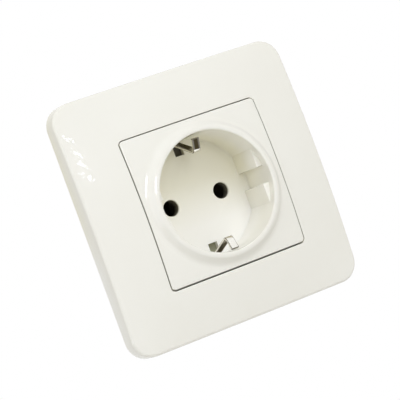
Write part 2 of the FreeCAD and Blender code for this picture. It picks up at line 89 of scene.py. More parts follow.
class Nodes:
    """Small writer of shader node trees."""

    def __init__(self, material: bpy.types.Material) -> None:
        """Starts from the material's principled shader.

        Args:
            material: The material whose node tree is written.
        """
        material.use_nodes = True
        self.tree = material.node_tree
        self.shader = self.tree.nodes["Principled BSDF"]
        source = self.add("ShaderNodeTexCoord")
        self.coords = source.outputs["Object"]
        self.normal = source.outputs["Normal"]

    def add(self, kind: str, **values: object) -> bpy.types.Node:
        """Adds a node and sets its input sockets by name.

        Args:
            kind: The node's Blender type.
            **values: Input names, with spaces as underscores, and their values.

        Returns:
            The new node.
        """
        node = self.tree.nodes.new(kind)
        for name, value in values.items():
            node.inputs[name.replace("_", " ")].default_value = value
        return node

    def link(self, out: Socket, into: Socket) -> None:
        """Joins two sockets."""
        self.tree.links.new(out, into)

    def noise(self, scale: float, detail: Detail, stretch: Sequence[float] = (1, 1, 1)) -> Socket:
        """Adds a noise field in the object's own space.

        Args:
            scale: Features per metre.
            detail: Octaves of finer noise.
            stretch: Scale along each axis, for brushed or drawn grain.

        Returns:
            The field's value, from 0 to 1.
        """
        place = self.add("ShaderNodeMapping", Scale=tuple(stretch))
        self.link(self.coords, place.inputs["Vector"])
        field_node = self.add("ShaderNodeTexNoise", Scale=scale, Detail=detail.value)
        self.link(place.outputs["Vector"], field_node.inputs["Vector"])
        return field_node.outputs["Fac"]

    def spread(self, value: Socket, low: float, high: float) -> Socket:
        """Maps a field's middle range onto new limits.

        Args:
            value: The field, from 0 to 1.
            low: Result where the field is low.
            high: Result where the field is high.

        Returns:
            The mapped value.
        """
        ramp = self.add(
            "ShaderNodeMapRange", From_Min=NOISE_LOW, From_Max=NOISE_HIGH, To_Min=low, To_Max=high)
        self.link(value, ramp.inputs["Value"])
        return ramp.outputs["Result"]

    def blend(self, share: Socket, low: Tint, high: Tint) -> Socket:
        """Mixes two colours by a share that varies over the piece.

        Args:
            share: How much of the second colour there is, from 0 to 1.
            low: First colour, fixed or from another node.
            high: Second colour, fixed or from another node.

        Returns:
            The mixed colour.
        """
        mix = self.tree.nodes.new("ShaderNodeMix")
        mix.data_type = "RGBA"
        self.link(share, mix.inputs["Factor"])
        inputs = [socket for socket in mix.inputs if socket.type == "RGBA"]
        for socket, colour in zip(inputs, (low, high)):
            if isinstance(colour, Socket):
                self.link(colour, socket)
            else:
                socket.default_value = (*colour, 1.0)
        return next(socket for socket in mix.outputs if socket.type == "RGBA")

    def mottle(self, value: Socket, deep: Colour, pale: Colour) -> Socket:
        """Two colours mixed over a noise field's middle range."""
        return self.blend(self.ramp(value, NOISE_LOW, NOISE_HIGH), deep, pale)

    def tint(self, colour: Socket) -> None:
        """Makes a colour the base colour."""
        self.link(colour, self.shader.inputs["Base Color"])

    def polish(self, value: Socket, roughness: float, more: float) -> None:
        """Lets a field add to the roughness."""
        self.link(self.spread(value, roughness, roughness + more), self.shader.inputs["Roughness"])

    def math(self, kind: str, *values: float | Socket) -> Socket:
        """Adds a calculation with fields and numbers.

        Args:
            kind: The operation's Blender name.
            *values: Its operands in order.

        Returns:
            The result.
        """
        node = self.tree.nodes.new("ShaderNodeMath")
        node.operation = kind
        for socket, value in zip(node.inputs, values):
            if isinstance(value, Socket):
                self.link(value, socket)
            else:
                socket.default_value = value
        return node.outputs[0]

    def axis(self, name: str, vector: Socket) -> Socket:
        """Takes one coordinate of a vector.

        Args:
            name: The axis, X, Y or Z.
            vector: The vector.

        Returns:
            The coordinate.
        """
        node = self.tree.nodes.new("ShaderNodeSeparateXYZ")
        self.link(vector, node.inputs["Vector"])
        return node.outputs[name]

    def ramp(self, value: Socket, start: float, end: float) -> Socket:
        """Runs from 0 at one value of a field to 1 at another.

        Args:
            value: The field.
            start: Value that gives 0.
            end: Value that gives 1.

        Returns:
            The share, held between 0 and 1.
        """
        node = self.add("ShaderNodeMapRange", From_Min=start, From_Max=end)
        self.link(value, node.inputs["Value"])
        return node.outputs["Result"]

    def bump(self, value: Socket, depth: float) -> None:
        """Lets a field raise the surface.

        Args:
            value: The field that shapes the bump.
            depth: Height of the bump in metres.
        """
        node = self.add("ShaderNodeBump", Strength=1.0, Distance=depth)
        self.link(value, node.inputs["Height"])
        self.link(node.outputs["Normal"], self.shader.inputs["Normal"])


def seen(tree: bpy.types.NodeTree) -> Socket:
    """One for camera, mirror and transmitted rays, and zero for the rest.

    Args:
        tree: The node tree to write in.

    Returns:
        The share, zero or one.
    """
    path = tree.nodes.new("ShaderNodeLightPath")
    total = path.outputs["Is Camera Ray"]
    for name in ("Is Glossy Ray", "Is Transmission Ray"):
        either = tree.nodes.new("ShaderNodeMath")
        either.operation = "MAXIMUM"
        tree.links.new(total, either.inputs[0])
        tree.links.new(path.outputs[name], either.inputs[1])
        total = either.outputs[0]
    return total


@dataclass(frozen=True)
class Finish:
    """What all finishes share."""

    name: str
    slot: str

    def material(self) -> bpy.types.Material:
        """Makes the finish's material once.

        Returns:
            The material.
        """
        found = bpy.data.materials.get(self.name)
        if found:
            return found
        made = bpy.data.materials.new(self.name)
        self.paint(Nodes(made))
        return made

    def paint(self, nodes: Nodes) -> None:
        """Writes the finish's nodes."""
        raise NotImplementedError


@dataclass(frozen=True)
class GlossPlastic(Finish):
    """Cream-white moulded plastic with a polished skin."""

    pale: Colour = (0.93, 0.909, 0.806)
    deep: Colour = (0.915, 0.892, 0.786)
    roughness: float = 0.04
    roughness_spread: float = 0.015
    flow_scale: float = 45.0
    skin_scale: float = 900.0
    skin_depth: float = 4.5e-7
    ior: float = 1.5
    recess_shade_tint: Colour = (0.935, 0.905, 0.745)
    recess_light_tint: Colour = (0.985, 0.967, 0.885)
    recess_tint_front: float = -0.007
    recess_tint_back: float = -0.001
    recess_shade_top: float = 0.006
    recess_light_low: float = -0.009

    def paint(self, nodes: Nodes) -> None:
        """Flow marks, a warm painted shade tint high and a pale painted light tint low in the recess, an
        uneven polish and a fine skin.

        Args:
            nodes: The writer of the node tree.
        """
        flow = nodes.noise(self.flow_scale, Detail.MEDIUM)
        skin = nodes.noise(self.skin_scale, Detail.SOFT)
        # Painted shade and light in the recess: a warm tint near its top, a pale tint near its bottom.
        inside = nodes.ramp(nodes.axis("Y", nodes.coords), self.recess_tint_front, self.recess_tint_back)
        low = nodes.ramp(nodes.axis("Z", nodes.coords), self.recess_shade_top, self.recess_light_low)
        cream = nodes.mottle(flow, self.deep, self.pale)
        nodes.tint(nodes.blend(inside, cream, nodes.blend(low, self.recess_shade_tint, self.recess_light_tint)))
        nodes.polish(flow, self.roughness, self.roughness_spread)
        nodes.bump(skin, self.skin_depth)
        nodes.shader.inputs["IOR"].default_value = self.ior


@dataclass(frozen=True)
class DarkMoulding(Finish):
    """Dark thermoset of the base, matt with a fine grain, with painted light on the low lands that face the
    room.
    """

    pale: Colour = (0.175, 0.163, 0.122)
    deep: Colour = (0.13, 0.121, 0.09)
    roughness: float = 0.5
    shine: float = 0.15
    grain_scale: float = 1600.0
    grain_depth: float = 1.5e-5
    painted_land_light: Colour = (0.46, 0.45, 0.3)
    land_light_top: float = 0.004
    land_light_low: float = -0.013
    land_light_tilt: float = -0.5
    land_light_flat: float = -0.9
    cloud_scale: float = 160.0
    roughness_spread: float = 0.15

    def paint(self, nodes: Nodes) -> None:
        """Speckled colour under painted light on low lands that face the room, matt polish and a pressed
        grain.

        Args:
            nodes: The writer of the node tree.
        """
        cloud = nodes.noise(self.cloud_scale, Detail.FINE)
        grain = nodes.noise(self.grain_scale, Detail.MEDIUM)
        # Painted light: low lands that face the room are lightened, as if lit from above.
        facing = nodes.ramp(nodes.axis("Y", nodes.normal), self.land_light_tilt, self.land_light_flat)
        low = nodes.ramp(nodes.axis("Z", nodes.coords), self.land_light_top, self.land_light_low)
        unmarked = nodes.mottle(cloud, self.deep, self.pale)
        nodes.tint(nodes.blend(nodes.math("MULTIPLY", facing, low), unmarked, self.painted_land_light))
        nodes.polish(grain, self.roughness, self.roughness_spread)
        nodes.shader.inputs["Specular IOR Level"].default_value = self.shine
        nodes.bump(grain, self.grain_depth)


@dataclass(frozen=True)
class PlatedMetal(Finish):
    """Plated sheet metal with drawn grain along one axis."""

    pale: Colour = (0.74, 0.735, 0.72)
    deep: Colour = (0.6, 0.6, 0.6)
    roughness: float = 0.28
    grain: tuple[float, float, float] = (1.0, 1.0, 1.0)
    grain_scale: float = 700.0
    grain_depth: float = 2.0e-6
    cloud_scale: float = 220.0
    roughness_spread: float = 0.12

    def paint(self, nodes: Nodes) -> None:
        """Cloudy plating over drawn grain.

        Args:
            nodes: The writer of the node tree.
        """
        cloud = nodes.noise(self.cloud_scale, Detail.MEDIUM)
        grain = nodes.noise(self.grain_scale, Detail.MEDIUM, self.grain)
        nodes.tint(self.plating(nodes, nodes.mottle(cloud, self.deep, self.pale)))
        nodes.polish(grain, self.roughness, self.roughness_spread)
        nodes.bump(grain, self.grain_depth)
        nodes.shader.inputs["Metallic"].default_value = 1.0

    def plating(self, nodes: Nodes, colour: Socket) -> Socket:
        """Colour of the plating, left as it is for plain sheet."""
        return colour


@dataclass(frozen=True)
class SpringStrip(PlatedMetal):
    """Plated spring strip with painted dark reflections, streaked down in its slot and on the upper lug."""

    dark: Colour = (0.03, 0.026, 0.018)
    edge_tint: Colour = (0.6, 0.57, 0.5)
    bright_depth: float = -0.0085
    dark_depth: float = -0.0055
    streak_scale: float = 1500.0
    streak_shift: float = 0.006
    painted_lug_reflection: Colour = (0.052, 0.042, 0.022)
    lug_reflection_face: float = 0.39
    lug_reflection_sides: float = 0.6
    lug_reflection_off: float = 0.12
    lug_reflection_on: float = 0.06
    lug_reflection_edge: float = 0.0014
    lug_reflection_middle: float = 0.0006
    streak_stretch: tuple[float, float, float] = (1.0, 0.06, 0.06)
    side_tilt: float = 0.7
    side_flat: float = 0.4

    def plating(self, nodes: Nodes, colour: Socket) -> Socket:
        """Paints dark reflections on the broad sides with depth, in streaks along the strip, and on the lug
        that faces down.

        Args:
            nodes: The writer of the node tree.
            colour: Colour of the clean plating.

        Returns:
            The streaked colour.
        """
        # Painted dark reflection on the legs' broad sides, deeper in the slot, in streaks.
        streak = nodes.noise(self.streak_scale, Detail.SOFT, self.streak_stretch)
        depth = nodes.math("MULTIPLY_ADD", streak, self.streak_shift, nodes.axis("Y", nodes.coords))
        start = self.bright_depth + self.streak_shift / 2
        end = self.dark_depth + self.streak_shift / 2
        across = nodes.math("ABSOLUTE", nodes.axis("X", nodes.normal))
        broad = nodes.ramp(across, self.side_tilt, self.side_flat)
        share = nodes.math("MULTIPLY", nodes.ramp(depth, start, end), broad)
        nodes.shader.inputs["Specular Tint"].default_value = (*self.edge_tint, 1.0)
        # Painted dark reflection on the lug that faces down, lighter at its side edges.
        off_lug = nodes.math("ABSOLUTE", nodes.math("ADD", nodes.axis("Z", nodes.normal), self.lug_reflection_face))
        aside = nodes.math("ABSOLUTE", nodes.axis("X", nodes.coords))
        middle = nodes.ramp(aside, self.lug_reflection_edge, self.lug_reflection_middle)
        lug_reflection_share = nodes.math("MULTIPLY_ADD", middle, 1 - self.lug_reflection_sides, self.lug_reflection_sides)
        lug = nodes.math("MULTIPLY", lug_reflection_share, nodes.ramp(off_lug, self.lug_reflection_off, self.lug_reflection_on))
        return nodes.blend(lug, nodes.blend(share, colour, self.dark), self.painted_lug_reflection)


@dataclass(frozen=True)
class MouthShadedMetal(PlatedMetal):
    """Contact metal, darkened towards its mouth with painted shade."""

    mouth_shade: Colour = (0.04, 0.036, 0.03)
    mouth: float = 0.011
    unmarked: float = 0.015

    def plating(self, nodes: Nodes, colour: Socket) -> Socket:
        """Darkens the metal towards its mouth with painted shade."""
        # Painted shade: the metal grows dark towards the pin hole.
        dark = nodes.ramp(nodes.axis("Y", nodes.coords), self.unmarked, self.mouth)
        return nodes.blend(dark, colour, self.mouth_shade)


@dataclass(frozen=True)
class FloorPaint(Finish):
    """Matt floor paint that looks white to the camera and in mirrors."""

    slot: str = ""
    pale: Colour = (0.88, 0.88, 0.88)
    deep: Colour = (0.8624, 0.8624, 0.8624)
    cloud_scale: float = 6.0
    roughness: float = 0.9
    glow: float = 0.45

    def paint(self, nodes: Nodes) -> None:
        """Faint clouds, and a glow that only the camera and mirrors see.

        Args:
            nodes: The writer of the node tree.
        """
        nodes.tint(nodes.mottle(nodes.noise(self.cloud_scale, Detail.SOFT), self.deep, self.pale))
        nodes.shader.inputs["Roughness"].default_value = self.roughness
        nodes.shader.inputs["Emission Color"].default_value = PURE_WHITE
        glow = nodes.math("MULTIPLY", seen(nodes.tree), self.glow)
        nodes.link(glow, nodes.shader.inputs["Emission Strength"])


FLOOR = FloorPaint("pale_floor")
WHITE = GlossPlastic("cream_gloss_plastic", "white_cover")
# Painted shade: darker, duller plastic on the faces inside the joint round the cover.
JOINT = GlossPlastic(
    "dusty_joint", "white_cover", pale=(0.62, 0.6, 0.51), deep=(0.5, 0.48, 0.4), recess_shade_tint=(0.4, 0.38, 0.31),
    recess_light_tint=(0.4, 0.38, 0.31), roughness=0.5, roughness_spread=0.2)
DARK = DarkMoulding("dark_thermoset", "dark_base")
ZINC = PlatedMetal("zinc_plated_steel", "zinc_steel", grain=(0.15, 1.0, 1.0))
NICKEL = SpringStrip(
    "nickel_plated_spring", "nickel_clip", pale=(0.91, 0.895, 0.84), deep=(0.79, 0.77, 0.7), roughness=0.1,
    grain=(1.0, 0.2, 0.2))
# Painted dark reflection on the broken edges of the earth bow.
EDGE = PlatedMetal(
    "sheared_edge", "nickel_clip", pale=(0.2, 0.18, 0.14), deep=(0.12, 0.1, 0.075), roughness=0.3)
BRASS = PlatedMetal(
    "rolled_brass", "brass", pale=(0.8, 0.63, 0.33), deep=(0.68, 0.53, 0.27), roughness=0.24,
    grain=(1.0, 0.2, 1.0))
# The contacts and bands are darkened towards their mouths with painted shade.
CONTACT = MouthShadedMetal(
    "greased_brass", "brass", pale=(0.7, 0.55, 0.29), deep=(0.58, 0.45, 0.23), roughness=0.55,
    grain=(1.0, 0.2, 1.0))
BAND = MouthShadedMetal("greased_steel", "zinc_steel", roughness=0.6, mouth=0.016, unmarked=0.021)


def level_at(y: float) -> Depth:
    """A depth that is the same at every point."""
    return lambda point: y


@dataclass
class Outline:
    """Points round a rounded square, in step with each other whatever its size."""

    side_steps: int = 40
    corner_steps: int = 8

    def walk(self, half: float, radius: float) -> list[tuple[Vector, Vector]]:
        """Walks once round the outline.

        Args:
            half: Half the square's side.
            radius: Corner radius.

        Returns:
            Pairs of a point and the outward normal there, with depth zero.
        """
        pairs = []
        for turn in range(4):
            spin = Matrix.Rotation(-math.pi / 2 * turn, 3, "Y")
            reach = half - radius
            for step in range(self.side_steps):
                z = -reach + 2 * reach * step / self.side_steps
                pairs.append((spin @ Vector((half, 0, z)), spin @ Vector((1, 0, 0))))
            for step in range(self.corner_steps):
                angle = math.pi / 2 * step / self.corner_steps
                out = Vector((math.cos(angle), 0, math.sin(angle)))
                pairs.append((spin @ (Vector((reach, 0, reach)) + out * radius), spin @ out))
        return pairs

    def ring(self, half: float, radius: float, depth: Depth) -> Ring:
        """One closed ring at a depth that may vary from point to point."""
        return [Vector((p.x, depth(p), p.z)) for p, _ in self.walk(half, radius)]


@dataclass
class Crown:
    """The crowned face that the frame and the centre cover share."""

    half: float = 0.0425
    height: float = 0.0134
    side_fall: float = 0.0054
    corner_fall: float = 0.0079
    settle_steps: int = 8

    def depth(self, point: Vector) -> float:
        """Works out the depth of the face.

        Args:
            point: A point in front of or behind it.

        Returns:
            The depth there.
        """
        u = (point.x / self.half) ** 2
        w = (point.z / self.half) ** 2
        twist = 2 * self.side_fall - self.corner_fall
        return self.side_fall * (u + w) - twist * u * w - self.height

    def under(self, wall: float) -> Depth:
        """Depth of the back of a wall behind the face."""
        return lambda point: self.depth(point) + wall

    def slope(self, point: Vector, out: Vector, step: float = 1e-5) -> float:
        """Rise of the depth along a direction."""
        return (self.depth(point + out * step) - self.depth(point - out * step)) / (2 * step)

    def rolled(self, edge: Vector, out: Vector, lean: float, radius: float, steps: int) -> Ring:
        """Round edge between the face and a side wall, from the face outward.

        Args:
            edge: Point of the side wall at depth zero.
            out: Outward normal of the side wall, seen from the front.
            lean: How fast the wall moves in towards the front.
            radius: Radius of the round edge.
            steps: Spans along the arc.

        Returns:
            Points along the arc.
        """
        tilt = math.sqrt(1 + lean * lean)
        centre = edge - out * radius
        for _ in range(self.settle_steps):
            slope = self.slope(centre, out)
            rise = math.sqrt(1 + slope * slope)
            touch = centre + out * (radius * slope / rise)
            y = self.depth(touch) + radius / rise
            centre = edge + out * (y * lean - radius * tilt)
            centre.y = y
        first = math.atan2(-1 / rise, slope / rise)
        last = math.atan2(-lean / tilt, 1 / tilt)
        arc = []
        for step in range(steps + 1):
            angle = first + (last - first) * step / steps
            arc.append(centre + out * (radius * math.cos(angle)) + Vector((0, radius * math.sin(angle), 0)))
        return arc


class Mesher:
    """Makes mesh objects out of rings and prisms."""

    def __init__(self, name: str) -> None:
        """Starts an empty mesh.

        Args:
            name: Name of the object to be.
        """
        self.name = name
        self.bm = bmesh.new()

    def loft(self, rings: Sequence[Ring], closed: bool = False, caps: bool = False) -> None:
        """Skins a run of rings that all have the same number of points.

        Args:
            rings: The rings in order.
            closed: True where the last ring runs on into the first.
            caps: True where the first and last rings are closed by a face.
        """
        rows = [[self.bm.verts.new(p) for p in ring] for ring in rings]
        pairs = list(zip(rows, rows[1:]))
        if closed:
            pairs.append((rows[-1], rows[0]))
        for a, b in pairs:
            for i in range(len(a)):
                j = (i + 1) % len(a)
                self.bm.faces.new((a[i], a[j], b[j], b[i]))
        if caps:
            self.bm.faces.new(reversed(rows[0]))
            self.bm.faces.new(rows[-1])

    def prism(self, outline: Sequence[Vector], along: Vector, bevel: float = 0.0) -> None:
        """Straight block over an outline, with softly broken edges.

        Args:
            outline: Corners of one end.
            along: Vector to the other end.
            bevel: Width of the broken edges.
        """
        near = [self.bm.verts.new(p) for p in outline]
        far = [self.bm.verts.new(p + along) for p in outline]
        faces = [self.bm.faces.new(near), self.bm.faces.new(list(reversed(far)))]
        for i in range(len(near)):
            j = (i + 1) % len(near)
            faces.append(self.bm.faces.new((near[j], near[i], far[i], far[j])))
        if bevel:
            edges = list({e for f in faces for e in f.edges if e.calc_length() > BEVEL_ROOM * bevel})
            bmesh.ops.bevel(
                self.bm, geom=edges, offset=bevel, segments=EDGE_SEGMENTS, affect="EDGES",
                profile=ROUND_PROFILE)

    def done(self, joint: Sequence[bmesh.types.BMFace] = ()) -> bpy.types.Object:
        """Makes the object, smooth but for its sharp edges.

        Args:
            joint: Faces that take the second material.

        Returns:
            The object, in the scene's collection.
        """
        for face in joint:
            face.material_index = 1
        bmesh.ops.recalc_face_normals(self.bm, faces=self.bm.faces)
        mesh = bpy.data.meshes.new(self.name)
        self.bm.to_mesh(mesh)
        self.bm.free()
        mesh.polygons.foreach_set("use_smooth", [True] * len(mesh.polygons))
        mesh.set_sharp_from_angle(angle=SMOOTH_ANGLE)
        made = bpy.data.objects.new(self.name, mesh)
        bpy.context.scene.collection.objects.link(made)
        return made


def carve(body: bpy.types.Object, tools: Sequence[bpy.types.Object]) -> None:
    """Cuts tools out of a body for good and removes them.

    Args:
        body: The object that is cut.
        tools: Closed objects to take away from it.
    """
    for tool in tools:
        cut = body.modifiers.new(tool.name, "BOOLEAN")
        cut.operation = "DIFFERENCE"
        cut.solver = "EXACT"
        cut.object = tool
    graph = bpy.context.evaluated_depsgraph_get()
    mesh = bpy.data.meshes.new_from_object(body.evaluated_get(graph))
    body.modifiers.clear()
    old = body.data
    body.data = mesh
    bpy.data.meshes.remove(old)
    for tool in tools:
        bpy.data.objects.remove(tool)


def wear(piece: bpy.types.Object, finish: Finish, *nodes: str) -> bpy.types.Object:
    """Dresses a new piece, lets it stand for its CAD nodes and fixes it to the socket.

    Args:
        piece: The new piece.
        finish: Its finish.
        *nodes: The nodes that it stands for.

    Returns:
        The piece.
    """
    used = [0] * len(piece.data.polygons)
    piece.data.polygons.foreach_get("material_index", used)
    piece.data.materials.clear()
    piece.data.materials.append(finish.material())
    # Faces inside the joint take the joint's painted shade material.
    if any(used):
        piece.data.materials.append(JOINT.material())
    piece.data.polygons.foreach_set("material_index", used)
    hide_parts(*nodes)
    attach(piece, ROOT)
    LOG.info("%s made, %d faces, %s", piece.name, len(piece.data.polygons), finish.name)
    return piece


def dress(node: str, finish: Finish, edge: float, rim: Finish | None = None) -> None:
    """Finishes a CAD node: its own mesh, softly broken edges and a material.

    Args:
        node: The node's name.
        finish: Its finish.
        edge: Width of the broken edges in metres.
        rim: Finish of the broken edges, where they have one of their own.
    """
    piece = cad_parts[node]
    weld = piece.modifiers.new("weld", "WELD")
    weld.merge_threshold = TINY
    soft = piece.modifiers.new("edges", "BEVEL")
    soft.width = edge
    soft.segments = EDGE_SEGMENTS
    soft.limit_method = "ANGLE"
    soft.angle_limit = BREAK_ANGLE
    soft.harden_normals = True
    for slot in piece.material_slots:
        slot.material = finish.material()
    if rim:
        soft.material = len(piece.data.materials)
        piece.data.materials.append(rim.material())
    LOG.info("%s dressed, %s", node, finish.name)


@dataclass
class CoverFrame:
    """The square frame: crowned face, round edges, window with a shelf, ribs behind."""

    crown: Crown
    outline: Outline
    half: float = 0.0425
    corner: float = 0.007
    lean: float = math.tan(math.radians(1.5))
    edge: float = 0.0011
    wall: float = 0.002
    window: float = 0.025315
    window_corner: float = 0.00178
    window_edge: float = 0.0001
    window_narrow: float = 0.00011
    window_wall: float = 0.0018
    shelf: float = 0.002
    shelf_front: float = -0.00595
    shelf_thick: float = 0.0016
    rim_edge: float = 0.0003
    ring_room: float = 0.0357
    ring_front: float = -0.0011
    sit: tuple[float, float, float] = (-0.00006, 0.0, -0.000095)
    rib_thick: float = 0.0014
    rib_offset: float = 0.014
    rib_sink: float = 0.0002
    rib_root: float = 0.8
    window_steps: int = 3
    face_steps: int = 14
    edge_steps: int = 10

    def face(self) -> list[Ring]:
        """Works out the front, from the window's edge out to the wall.

        Returns:
            Its rings.
        """
        steps = self.window_steps
        inner = [self.crown.rolled(p, -n, 0.0, self.window_edge, steps) for p, n in self.window_walk()]
        outer = [self.crown.rolled(p, n, self.lean, self.edge, self.edge_steps) for p, n in self.wall_walk()]
        rings = [[arc[k] for arc in inner] for k in reversed(range(steps + 1))]
        for step in range(1, self.face_steps):
            share = step / self.face_steps
            ring = []
            for a, b in zip(inner, outer):
                point = a[0].lerp(b[0], share)
                point.y = self.crown.depth(point)
                ring.append(point)
            rings.append(ring)
        rings += [[arc[k] for arc in outer] for k in range(self.edge_steps + 1)]
        return rings

    def window_walk(self) -> list[tuple[Vector, Vector]]:
        """Points and normals round the window."""
        return self.outline.walk(self.window, self.window_corner)

    def wall_walk(self) -> list[tuple[Vector, Vector]]:
        """Points and normals round the frame at the wall."""
        return self.outline.walk(self.half, self.corner)

    def behind(self) -> list[Ring]:
        """Works out the back, from the wall rim inward behind the face and down to the shelf.

        Returns:
            Its rings.
        """
        tube = self.window + self.window_wall
        tube_corner = self.window_corner + self.window_wall
        under = self.crown.under(self.wall)
        inner = self.half - self.wall
        inner_corner = self.corner - self.wall
        opening = self.window - self.shelf
        shelf_back = self.shelf_front + self.shelf_thick
        lean_in = self.lean * self.crown.height / 2
        square = self.outline.ring
        return [
            square(self.half - self.lean * self.rim_edge, self.corner, level_at(-self.rim_edge)),
            square(self.half - self.rim_edge, self.corner - self.rim_edge, level_at(0)),
            square(inner, inner_corner, level_at(0)),
            square(inner - lean_in, inner_corner - lean_in, under),
            square((inner + tube) / 2, (inner_corner + tube_corner) / 2, under),
            square(tube, tube_corner, under),
            square(tube, tube_corner, level_at(self.ring_front)),
            square(self.window, self.window_corner, level_at(self.ring_front)),
            square(self.window, self.window_corner, level_at(shelf_back)),
            square(opening, self.window_corner, level_at(shelf_back)),
            square(opening, self.window_corner, level_at(self.shelf_front)),
            square(self.window, self.window_corner, level_at(self.shelf_front)),
        ]

    def ribs(self, mesher: Mesher) -> None:
        """Adds two stiffening ribs behind each side.

        Args:
            mesher: The frame's mesh.
        """
        near = self.window + self.window_wall - self.rib_sink
        far = self.half - self.wall + self.rib_sink
        sink = self.wall * self.rib_root
        top = [Vector((x, self.crown.depth(Vector((x, 0, self.rib_offset))) + sink, 0)) for x in (near, far)]
        outline = top + [
            Vector((far, 0, 0)), Vector((self.ring_room, 0, 0)),
            Vector((self.ring_room, self.ring_front, 0)), Vector((near, self.ring_front, 0)),
        ]
        for turn in range(4):
            spin = Matrix.Rotation(math.pi / 2 * turn, 3, "Y")
            for side in Side:
                shift = Vector((0, 0, side.value * self.rib_offset - self.rib_thick / 2))
                corners = [spin @ (p + shift) for p in outline]
                mesher.prism(corners, spin @ Vector((0, 0, self.rib_thick)))

    def build(self) -> bpy.types.Object:
        """Builds the frame and dresses it.

        Returns:
            The finished piece.
        """
        mesher = Mesher("frame_moulding")
        mesher.loft(self.face() + self.behind(), closed=True)
        self.ribs(mesher)
        joint = [f for f in mesher.bm.faces if self.in_joint(f)]
        for vert in mesher.bm.verts:
            if 0 <= abs(vert.co.x) - self.window + TINY <= 2 * self.window_edge:
                vert.co.x -= math.copysign(self.window_narrow, vert.co.x)
        bmesh.ops.translate(mesher.bm, verts=mesher.bm.verts, vec=self.sit)
        return wear(mesher.done(joint), WHITE, "cover_frame")

    def in_joint(self, face: bmesh.types.BMFace) -> bool:
        """Tells whether a face looks into the joint round the cover.

        Args:
            face: The face.

        Returns:
            True where it does.
        """
        middle = face.calc_center_median()
        reach = max(abs(middle.x), abs(middle.z))
        return abs(reach - self.window) < self.window_edge / 2 and middle.y < self.shelf_front


